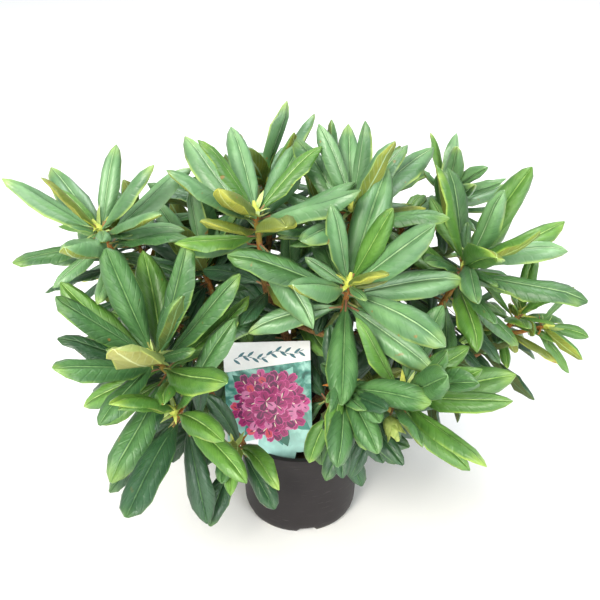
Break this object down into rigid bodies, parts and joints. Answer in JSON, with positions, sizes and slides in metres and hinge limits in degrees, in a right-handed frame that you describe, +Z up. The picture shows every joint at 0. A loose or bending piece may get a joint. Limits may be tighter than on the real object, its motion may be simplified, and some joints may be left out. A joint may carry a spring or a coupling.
{
  "type": "potted rhododendron",
  "caption": "Evergreen rhododendron shrub with whorls of long leathery leaves on forking boughs, in a round nursery pot with a picture card.",
  "frame": {"origin": "centre of the pot's flat underside", "axes": "+Z up along the trunk, -Y towards the front where the picture card stands, +X to the right"},
  "size_m": [0.7017, 0.6375, 0.5454],
  "materials": {
    "foliage": "satin leathery leaf",
    "bark": "rough bark",
    "pot": "matte moulded",
    "soil": "crumbly",
    "card": "printed and coated"
  },
  "bodies": {
    "root": {"bough_back_left": "bark", "bough_back_right": "bark", "bough_front": "bark", "bough_left": "bark", "bough_right": "bark", "foliage_back_left": "foliage", "foliage_back_low": "foliage", "foliage_back_low_left": "foliage", "foliage_back_low_right": "foliage", "foliage_back_right": "foliage", "foliage_back_top": "foliage", "foliage_centre_top": "foliage", "foliage_far_right": "foliage", "foliage_far_right_top": "foliage", "foliage_front_left": "foliage", "foliage_front_low": "foliage", "foliage_front_low_left": "foliage", "foliage_front_low_right": "foliage", "foliage_front_top": "foliage", "foliage_left_back": "foliage", "foliage_left_top": "foliage", "foliage_low_left": "foliage", "foliage_low_right": "foliage", "foliage_mid_left": "foliage", "foliage_mid_right": "foliage", "foliage_mid_top": "foliage", "foliage_middle": "foliage", "foliage_pot_left": "foliage", "foliage_right": "foliage", "foliage_right_top": "foliage", "label_card": "card", "main_stem": "bark", "pot": "pot", "potting_soil": "soil", "side_bough_back_low": "bark", "side_bough_back_low_left": "bark", "side_bough_back_low_right": "bark", "side_bough_back_top": "bark", "side_bough_far_right": "bark", "side_bough_far_right_top": "bark", "side_bough_front_left": "bark", "side_bough_front_low": "bark", "side_bough_front_low_left": "bark", "side_bough_front_low_right": "bark", "side_bough_front_top": "bark", "side_bough_left_back": "bark", "side_bough_low_left": "bark", "side_bough_low_right": "bark", "side_bough_mid_left": "bark", "side_bough_mid_right": "bark", "side_bough_mid_top": "bark", "side_bough_middle": "bark", "side_bough_pot_left": "bark", "side_bough_right_top": "bark"}
  },
  "joints": []
}
